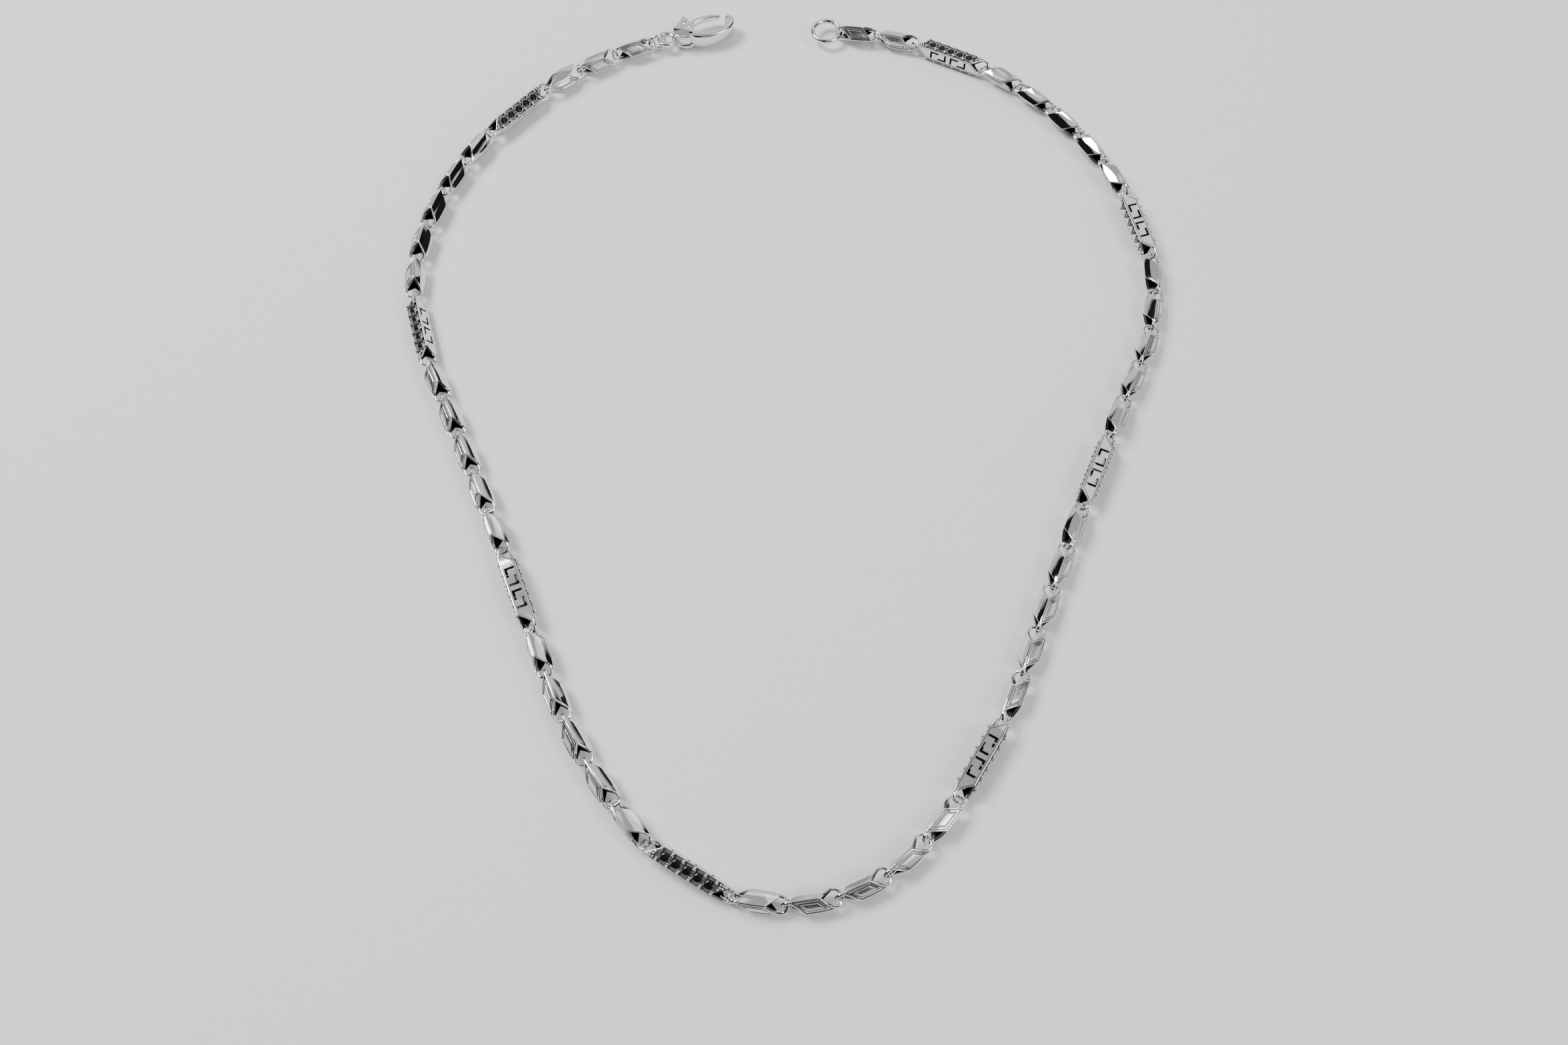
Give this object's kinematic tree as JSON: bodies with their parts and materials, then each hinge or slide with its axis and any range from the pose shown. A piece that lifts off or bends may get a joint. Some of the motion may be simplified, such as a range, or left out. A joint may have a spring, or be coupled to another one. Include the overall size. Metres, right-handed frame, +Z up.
{
  "type": "chain necklace",
  "caption": "Polished white-metal chain necklace of hollow square links with longer pierced station links and a lobster clasp, lying open.",
  "frame": {"origin": "under the middle of the whole necklace, on the surface it lies on", "axes": "+Z up from the surface, the drop toward -Y, the clasp end toward +Y, the wearer's two sides toward -X and +X"},
  "size_m": [0.1354, 0.174, 0.0041],
  "materials": {
    "link_metal": "mirror-polished white plating",
    "station_metal": "polished white plating with dark recesses",
    "clasp_metal": "polished white plating",
    "spring_steel": "drawn wire"
  },
  "bodies": {
    "small_link_L19_body": {"small_link_L19": "link_metal"},
    "small_link_L18_body": {"small_link_L18": "link_metal"},
    "small_link_L17_body": {"small_link_L17": "link_metal"},
    "station_link_L4_body": {"station_link_L4": "station_metal"},
    "small_link_L16_body": {"small_link_L16": "link_metal"},
    "small_link_L15_body": {"small_link_L15": "link_metal"},
    "small_link_L14_body": {"small_link_L14": "link_metal"},
    "small_link_L13_body": {"small_link_L13": "link_metal"},
    "small_link_L12_body": {"small_link_L12": "link_metal"},
    "station_link_L3_body": {"station_link_L3": "station_metal"},
    "small_link_L11_body": {"small_link_L11": "link_metal"},
    "small_link_L10_body": {"small_link_L10": "link_metal"},
    "small_link_L09_body": {"small_link_L09": "link_metal"},
    "small_link_L08_body": {"small_link_L08": "link_metal"},
    "small_link_L07_body": {"small_link_L07": "link_metal"},
    "station_link_L2_body": {"station_link_L2": "station_metal"},
    "small_link_L06_body": {"small_link_L06": "link_metal"},
    "small_link_L05_body": {"small_link_L05": "link_metal"},
    "small_link_L04_body": {"small_link_L04": "link_metal"},
    "small_link_L03_body": {"small_link_L03": "link_metal"},
    "small_link_L02_body": {"small_link_L02": "link_metal"},
    "station_link_L1_body": {"station_link_L1": "station_metal"},
    "small_link_L01_body": {"small_link_L01": "link_metal"},
    "small_link_R01_body": {"small_link_R01": "link_metal"},
    "small_link_R02_body": {"small_link_R02": "link_metal"},
    "small_link_R03_body": {"small_link_R03": "link_metal"},
    "small_link_R04_body": {"small_link_R04": "link_metal"},
    "station_link_R1_body": {"station_link_R1": "station_metal"},
    "small_link_R05_body": {"small_link_R05": "link_metal"},
    "small_link_R06_body": {"small_link_R06": "link_metal"},
    "small_link_R07_body": {"small_link_R07": "link_metal"},
    "small_link_R08_body": {"small_link_R08": "link_metal"},
    "small_link_R09_body": {"small_link_R09": "link_metal"},
    "station_link_R2_body": {"station_link_R2": "station_metal"},
    "small_link_R10_body": {"small_link_R10": "link_metal"},
    "small_link_R11_body": {"small_link_R11": "link_metal"},
    "small_link_R12_body": {"small_link_R12": "link_metal"},
    "small_link_R13_body": {"small_link_R13": "link_metal"},
    "small_link_R14_body": {"small_link_R14": "link_metal"},
    "station_link_R3_body": {"station_link_R3": "station_metal"},
    "small_link_R15_body": {"small_link_R15": "link_metal"},
    "small_link_R16_body": {"small_link_R16": "link_metal"},
    "small_link_R17_body": {"small_link_R17": "link_metal"},
    "small_link_R18_body": {"small_link_R18": "link_metal"},
    "small_link_R19_body": {"small_link_R19": "link_metal"},
    "station_link_R4_body": {"station_link_R4": "station_metal"},
    "small_link_R20_body": {"small_link_R20": "link_metal"},
    "small_link_R21_body": {"small_link_R21": "link_metal"},
    "jump_ring_body": {"jump_ring": "clasp_metal"},
    "clasp_body_group": {"clasp_body": "clasp_metal", "clasp_pin": "clasp_metal", "clasp_spring": "spring_steel"},
    "clasp_lever_body": {"clasp_lever": "clasp_metal"},
    "catch_ring_body": {"catch_ring": "clasp_metal"}
  },
  "joints": [
    {"name": "small_link_R02_hinge", "type": "hinge", "parent": "small_link_R01_body", "child": "small_link_R02_body", "pos_m": [0.00784, -0.0845, 0.00206], "axis": [-0.1962, 0.6793, -0.7071], "range_deg": [-30, 30]},
    {"name": "small_link_R03_hinge", "type": "hinge", "parent": "small_link_R02_body", "child": "small_link_R03_body", "pos_m": [0.01495, -0.08131, 0.00206], "axis": [0.377, -0.5982, -0.7071], "range_deg": [-30, 30]},
    {"name": "small_link_R04_hinge", "type": "hinge", "parent": "small_link_R03_body", "child": "small_link_R04_body", "pos_m": [0.0209, -0.07627, 0.00206], "axis": [0.503, -0.497, 0.7071], "range_deg": [-30, 30]},
    {"name": "station_link_R1_hinge", "type": "hinge", "parent": "small_link_R04_body", "child": "station_link_R1_body", "pos_m": [0.02587, -0.07026, 0.00206], "axis": [-0.5738, 0.4132, 0.7071], "range_deg": [-30, 30]},
    {"name": "small_link_R05_hinge", "type": "hinge", "parent": "station_link_R1_body", "child": "small_link_R05_body", "pos_m": [0.0337, -0.0577, 0.00206], "axis": [-0.6237, 0.3331, -0.7071], "range_deg": [-30, 30]},
    {"name": "small_link_R06_hinge", "type": "hinge", "parent": "small_link_R05_body", "child": "small_link_R06_body", "pos_m": [0.03691, -0.05059, 0.00206], "axis": [0.6509, -0.2764, -0.7071], "range_deg": [-30, 30]},
    {"name": "small_link_R07_hinge", "type": "hinge", "parent": "small_link_R06_body", "child": "small_link_R07_body", "pos_m": [0.0398, -0.04334, 0.00206], "axis": [0.6557, -0.2648, 0.7071], "range_deg": [-30, 30]},
    {"name": "small_link_R08_hinge", "type": "hinge", "parent": "small_link_R07_body", "child": "small_link_R08_body", "pos_m": [0.04275, -0.03612, 0.00206], "axis": [-0.6533, 0.2705, 0.7071], "range_deg": [-30, 30]},
    {"name": "small_link_R09_hinge", "type": "hinge", "parent": "small_link_R08_body", "child": "small_link_R09_body", "pos_m": [0.04577, -0.02893, 0.00206], "axis": [-0.6509, 0.2763, -0.7071], "range_deg": [-30, 30]},
    {"name": "station_link_R2_hinge", "type": "hinge", "parent": "small_link_R09_body", "child": "station_link_R2_body", "pos_m": [0.04885, -0.02176, 0.00206], "axis": [0.6479, -0.2832, -0.7071], "range_deg": [-30, 30]},
    {"name": "small_link_R10_hinge", "type": "hinge", "parent": "station_link_R2_body", "child": "small_link_R10_body", "pos_m": [0.05486, -0.00824, 0.00206], "axis": [0.6442, -0.2915, 0.7071], "range_deg": [-30, 30]},
    {"name": "small_link_R11_hinge", "type": "hinge", "parent": "small_link_R10_body", "child": "small_link_R11_body", "pos_m": [0.05812, -0.00115, 0.00206], "axis": [-0.6411, 0.2984, 0.7071], "range_deg": [-30, 30]},
    {"name": "small_link_R12_hinge", "type": "hinge", "parent": "small_link_R11_body", "child": "small_link_R12_body", "pos_m": [0.06144, 0.0059, 0.00206], "axis": [-0.6496, 0.2793, -0.7071], "range_deg": [-30, 30]},
    {"name": "small_link_R13_hinge", "type": "hinge", "parent": "small_link_R12_body", "child": "small_link_R13_body", "pos_m": [0.06428, 0.01317, 0.00206], "axis": [0.6784, -0.1994, -0.7071], "range_deg": [-30, 30]},
    {"name": "small_link_R14_hinge", "type": "hinge", "parent": "small_link_R13_body", "child": "small_link_R14_body", "pos_m": [0.06582, 0.02081, 0.00206], "axis": [0.7026, -0.08, 0.7071], "range_deg": [-30, 30]},
    {"name": "station_link_R3_hinge", "type": "hinge", "parent": "small_link_R14_body", "child": "station_link_R3_body", "pos_m": [0.06604, 0.02861, 0.00206], "axis": [-0.7038, -0.0686, 0.7071], "range_deg": [-30, 30]},
    {"name": "small_link_R15_hinge", "type": "hinge", "parent": "station_link_R3_body", "child": "small_link_R15_body", "pos_m": [0.06279, 0.04305, 0.00206], "axis": [-0.6722, -0.2193, -0.7071], "range_deg": [-30, 30]},
    {"name": "small_link_R16_hinge", "type": "hinge", "parent": "small_link_R15_body", "child": "small_link_R16_body", "pos_m": [0.05968, 0.0502, 0.00206], "axis": [0.6291, 0.3229, -0.7071], "range_deg": [-30, 30]},
    {"name": "small_link_R17_hinge", "type": "hinge", "parent": "small_link_R16_body", "child": "small_link_R17_body", "pos_m": [0.05568, 0.0569, 0.00206], "axis": [0.5821, 0.4015, 0.7071], "range_deg": [-30, 30]},
    {"name": "small_link_R18_hinge", "type": "hinge", "parent": "small_link_R17_body", "child": "small_link_R18_body", "pos_m": [0.05084, 0.06302, 0.00206], "axis": [-0.5253, -0.4734, 0.7071], "range_deg": [-30, 30]},
    {"name": "small_link_R19_hinge", "type": "hinge", "parent": "small_link_R18_body", "child": "small_link_R19_body", "pos_m": [0.04526, 0.06846, 0.00206], "axis": [-0.4597, -0.5373, -0.7071], "range_deg": [-30, 30]},
    {"name": "station_link_R4_hinge", "type": "hinge", "parent": "small_link_R19_body", "child": "station_link_R4_body", "pos_m": [0.03901, 0.07314, 0.00206], "axis": [0.369, 0.6032, -0.7071], "range_deg": [-30, 30]},
    {"name": "small_link_R20_hinge", "type": "hinge", "parent": "station_link_R4_body", "child": "small_link_R20_body", "pos_m": [0.02572, 0.07964, 0.00206], "axis": [0.2498, 0.6615, 0.7071], "range_deg": [-30, 30]},
    {"name": "small_link_R21_hinge", "type": "hinge", "parent": "small_link_R20_body", "child": "small_link_R21_body", "pos_m": [0.0182, 0.0817, 0.00206], "axis": [-0.1421, -0.6927, 0.7071], "range_deg": [-30, 30]},
    {"name": "small_link_L01_hinge", "type": "hinge", "parent": "small_link_R01_body", "child": "small_link_L01_body", "pos_m": [0.00011, -0.0856, 0.00206], "axis": [0, -1, 0], "range_deg": [-30, 30]},
    {"name": "station_link_L1_hinge", "type": "hinge", "parent": "small_link_L01_body", "child": "station_link_L1_body", "pos_m": [-0.00761, -0.0845, 0.00206], "axis": [-0.2386, -0.6656, -0.7071], "range_deg": [-30, 30]},
    {"name": "small_link_L02_hinge", "type": "hinge", "parent": "station_link_L1_body", "child": "small_link_L02_body", "pos_m": [-0.02024, -0.0768, 0.00206], "axis": [0.4605, 0.5366, -0.7071], "range_deg": [-30, 30]},
    {"name": "small_link_L03_hinge", "type": "hinge", "parent": "small_link_L02_body", "child": "small_link_L03_body", "pos_m": [-0.02527, -0.07083, 0.00206], "axis": [0.5611, 0.4303, 0.7071], "range_deg": [-30, 30]},
    {"name": "small_link_L04_hinge", "type": "hinge", "parent": "small_link_L03_body", "child": "small_link_L04_body", "pos_m": [-0.02973, -0.06443, 0.00206], "axis": [-0.5983, -0.3768, 0.7071], "range_deg": [-30, 30]},
    {"name": "small_link_L05_hinge", "type": "hinge", "parent": "small_link_L04_body", "child": "small_link_L05_body", "pos_m": [-0.03358, -0.05765, 0.00206], "axis": [-0.6305, -0.3201, -0.7071], "range_deg": [-30, 30]},
    {"name": "small_link_L06_hinge", "type": "hinge", "parent": "small_link_L05_body", "child": "small_link_L06_body", "pos_m": [-0.03678, -0.05054, 0.00206], "axis": [0.6509, 0.2764, -0.7071], "range_deg": [-30, 30]},
    {"name": "station_link_L2_hinge", "type": "hinge", "parent": "small_link_L06_body", "child": "station_link_L2_body", "pos_m": [-0.03967, -0.04329, 0.00206], "axis": [0.6551, 0.2661, 0.7071], "range_deg": [-30, 30]},
    {"name": "small_link_L07_hinge", "type": "hinge", "parent": "station_link_L2_body", "child": "small_link_L07_body", "pos_m": [-0.04533, -0.02961, 0.00206], "axis": [-0.6517, -0.2744, 0.7071], "range_deg": [-30, 30]},
    {"name": "small_link_L08_hinge", "type": "hinge", "parent": "small_link_L07_body", "child": "small_link_L08_body", "pos_m": [-0.0484, -0.02244, 0.00206], "axis": [-0.6487, -0.2814, -0.7071], "range_deg": [-30, 30]},
    {"name": "small_link_L09_hinge", "type": "hinge", "parent": "small_link_L08_body", "child": "small_link_L09_body", "pos_m": [-0.05154, -0.0153, 0.00206], "axis": [0.6462, 0.2871, -0.7071], "range_deg": [-30, 30]},
    {"name": "small_link_L10_hinge", "type": "hinge", "parent": "small_link_L09_body", "child": "small_link_L10_body", "pos_m": [-0.05473, -0.00819, 0.00206], "axis": [0.6437, 0.2927, 0.7071], "range_deg": [-30, 30]},
    {"name": "small_link_L11_hinge", "type": "hinge", "parent": "small_link_L10_body", "child": "small_link_L11_body", "pos_m": [-0.05799, -0.0011, 0.00206], "axis": [-0.6411, -0.2984, 0.7071], "range_deg": [-30, 30]},
    {"name": "station_link_L3_hinge", "type": "hinge", "parent": "small_link_L11_body", "child": "station_link_L3_body", "pos_m": [-0.06132, 0.00596, 0.00206], "axis": [-0.6599, -0.254, -0.7071], "range_deg": [-30, 30]},
    {"name": "small_link_L12_hinge", "type": "hinge", "parent": "station_link_L3_body", "child": "small_link_L12_body", "pos_m": [-0.06561, 0.02012, 0.00206], "axis": [0.6969, 0.1195, -0.7071], "range_deg": [-30, 30]},
    {"name": "small_link_L13_hinge", "type": "hinge", "parent": "small_link_L12_body", "child": "small_link_L13_body", "pos_m": [-0.06596, 0.02791, 0.00206], "axis": [0.7065, -0.0292, 0.7071], "range_deg": [-30, 30]},
    {"name": "small_link_L14_hinge", "type": "hinge", "parent": "small_link_L13_body", "child": "small_link_L14_body", "pos_m": [-0.06497, 0.03565, 0.00206], "axis": [-0.6925, 0.143, 0.7071], "range_deg": [-30, 30]},
    {"name": "small_link_L15_hinge", "type": "hinge", "parent": "small_link_L14_body", "child": "small_link_L15_body", "pos_m": [-0.06282, 0.04314, 0.00206], "axis": [-0.6656, 0.2388, -0.7071], "range_deg": [-30, 30]},
    {"name": "small_link_L16_hinge", "type": "hinge", "parent": "small_link_L15_body", "child": "small_link_L16_body", "pos_m": [-0.05972, 0.0503, 0.00206], "axis": [0.6291, -0.3229, -0.7071], "range_deg": [-30, 30]},
    {"name": "station_link_L4_hinge", "type": "hinge", "parent": "small_link_L16_body", "child": "station_link_L4_body", "pos_m": [-0.05571, 0.05699, 0.00206], "axis": [0.5702, -0.4182, 0.7071], "range_deg": [-30, 30]},
    {"name": "small_link_L17_hinge", "type": "hinge", "parent": "station_link_L4_body", "child": "small_link_L17_body", "pos_m": [-0.04588, 0.06805, 0.00206], "axis": [-0.482, 0.5173, 0.7071], "range_deg": [-30, 30]},
    {"name": "small_link_L18_hinge", "type": "hinge", "parent": "small_link_L17_body", "child": "small_link_L18_body", "pos_m": [-0.0397, 0.07281, 0.00206], "axis": [-0.3942, 0.587, -0.7071], "range_deg": [-30, 30]},
    {"name": "small_link_L19_hinge", "type": "hinge", "parent": "small_link_L18_body", "child": "small_link_L19_body", "pos_m": [-0.03295, 0.07673, 0.00206], "axis": [0.315, -0.6331, -0.7071], "range_deg": [-30, 30]},
    {"name": "jump_ring_hinge", "type": "hinge", "parent": "small_link_L19_body", "child": "jump_ring_body", "pos_m": [-0.02541, 0.07987, 0.00206], "axis": [-0.326, 0.9454, 0], "range_deg": [-35, 35]},
    {"name": "clasp_hinge", "type": "hinge", "parent": "jump_ring_body", "child": "clasp_body_group", "pos_m": [-0.02441, 0.08021, 0.00206], "axis": [0, 0, 1], "range_deg": [-20, 20]},
    {"name": "clasp_lever_hinge", "type": "hinge", "parent": "clasp_body_group", "child": "clasp_lever_body", "pos_m": [-0.01924, 0.08385, 0.00206], "axis": [0, 0, 1], "range_deg": [-13, 0], "stiffness_Nm_per_rad": 0.0002},
    {"name": "catch_ring_hinge", "type": "hinge", "parent": "small_link_R21_body", "child": "catch_ring_body", "pos_m": [0.0101, 0.08282, 0.00206], "axis": [0, 0, 1], "range_deg": [-35, 35]}
  ]
}
